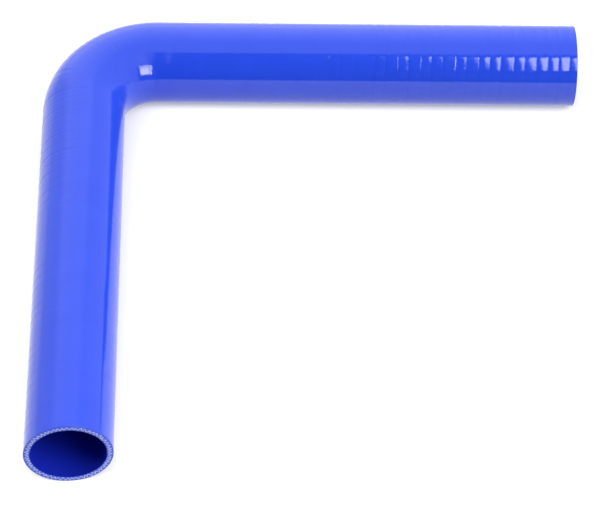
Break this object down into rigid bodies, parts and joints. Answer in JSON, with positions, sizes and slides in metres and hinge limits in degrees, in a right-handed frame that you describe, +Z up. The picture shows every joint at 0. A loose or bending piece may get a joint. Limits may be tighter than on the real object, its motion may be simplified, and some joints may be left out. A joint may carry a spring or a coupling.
{
  "type": "silicone elbow hose",
  "caption": "Right-angle reinforced silicone hose with two straight legs joined by a smooth bend, open at both ends, for coolant or charge air between two pipes.",
  "frame": {"origin": "centre of the hose's footprint, on the surface that it lies on", "axes": "+Z up, out of the surface that the hose lies flat on; +X the way the side leg's open end faces; -Y the way the front leg's open end faces"},
  "size_m": [0.393, 0.3948, 0.06],
  "materials": {
    "blue_silicone": "glossy"
  },
  "bodies": {
    "root": {"elbow_hose": "blue_silicone"}
  },
  "joints": []
}
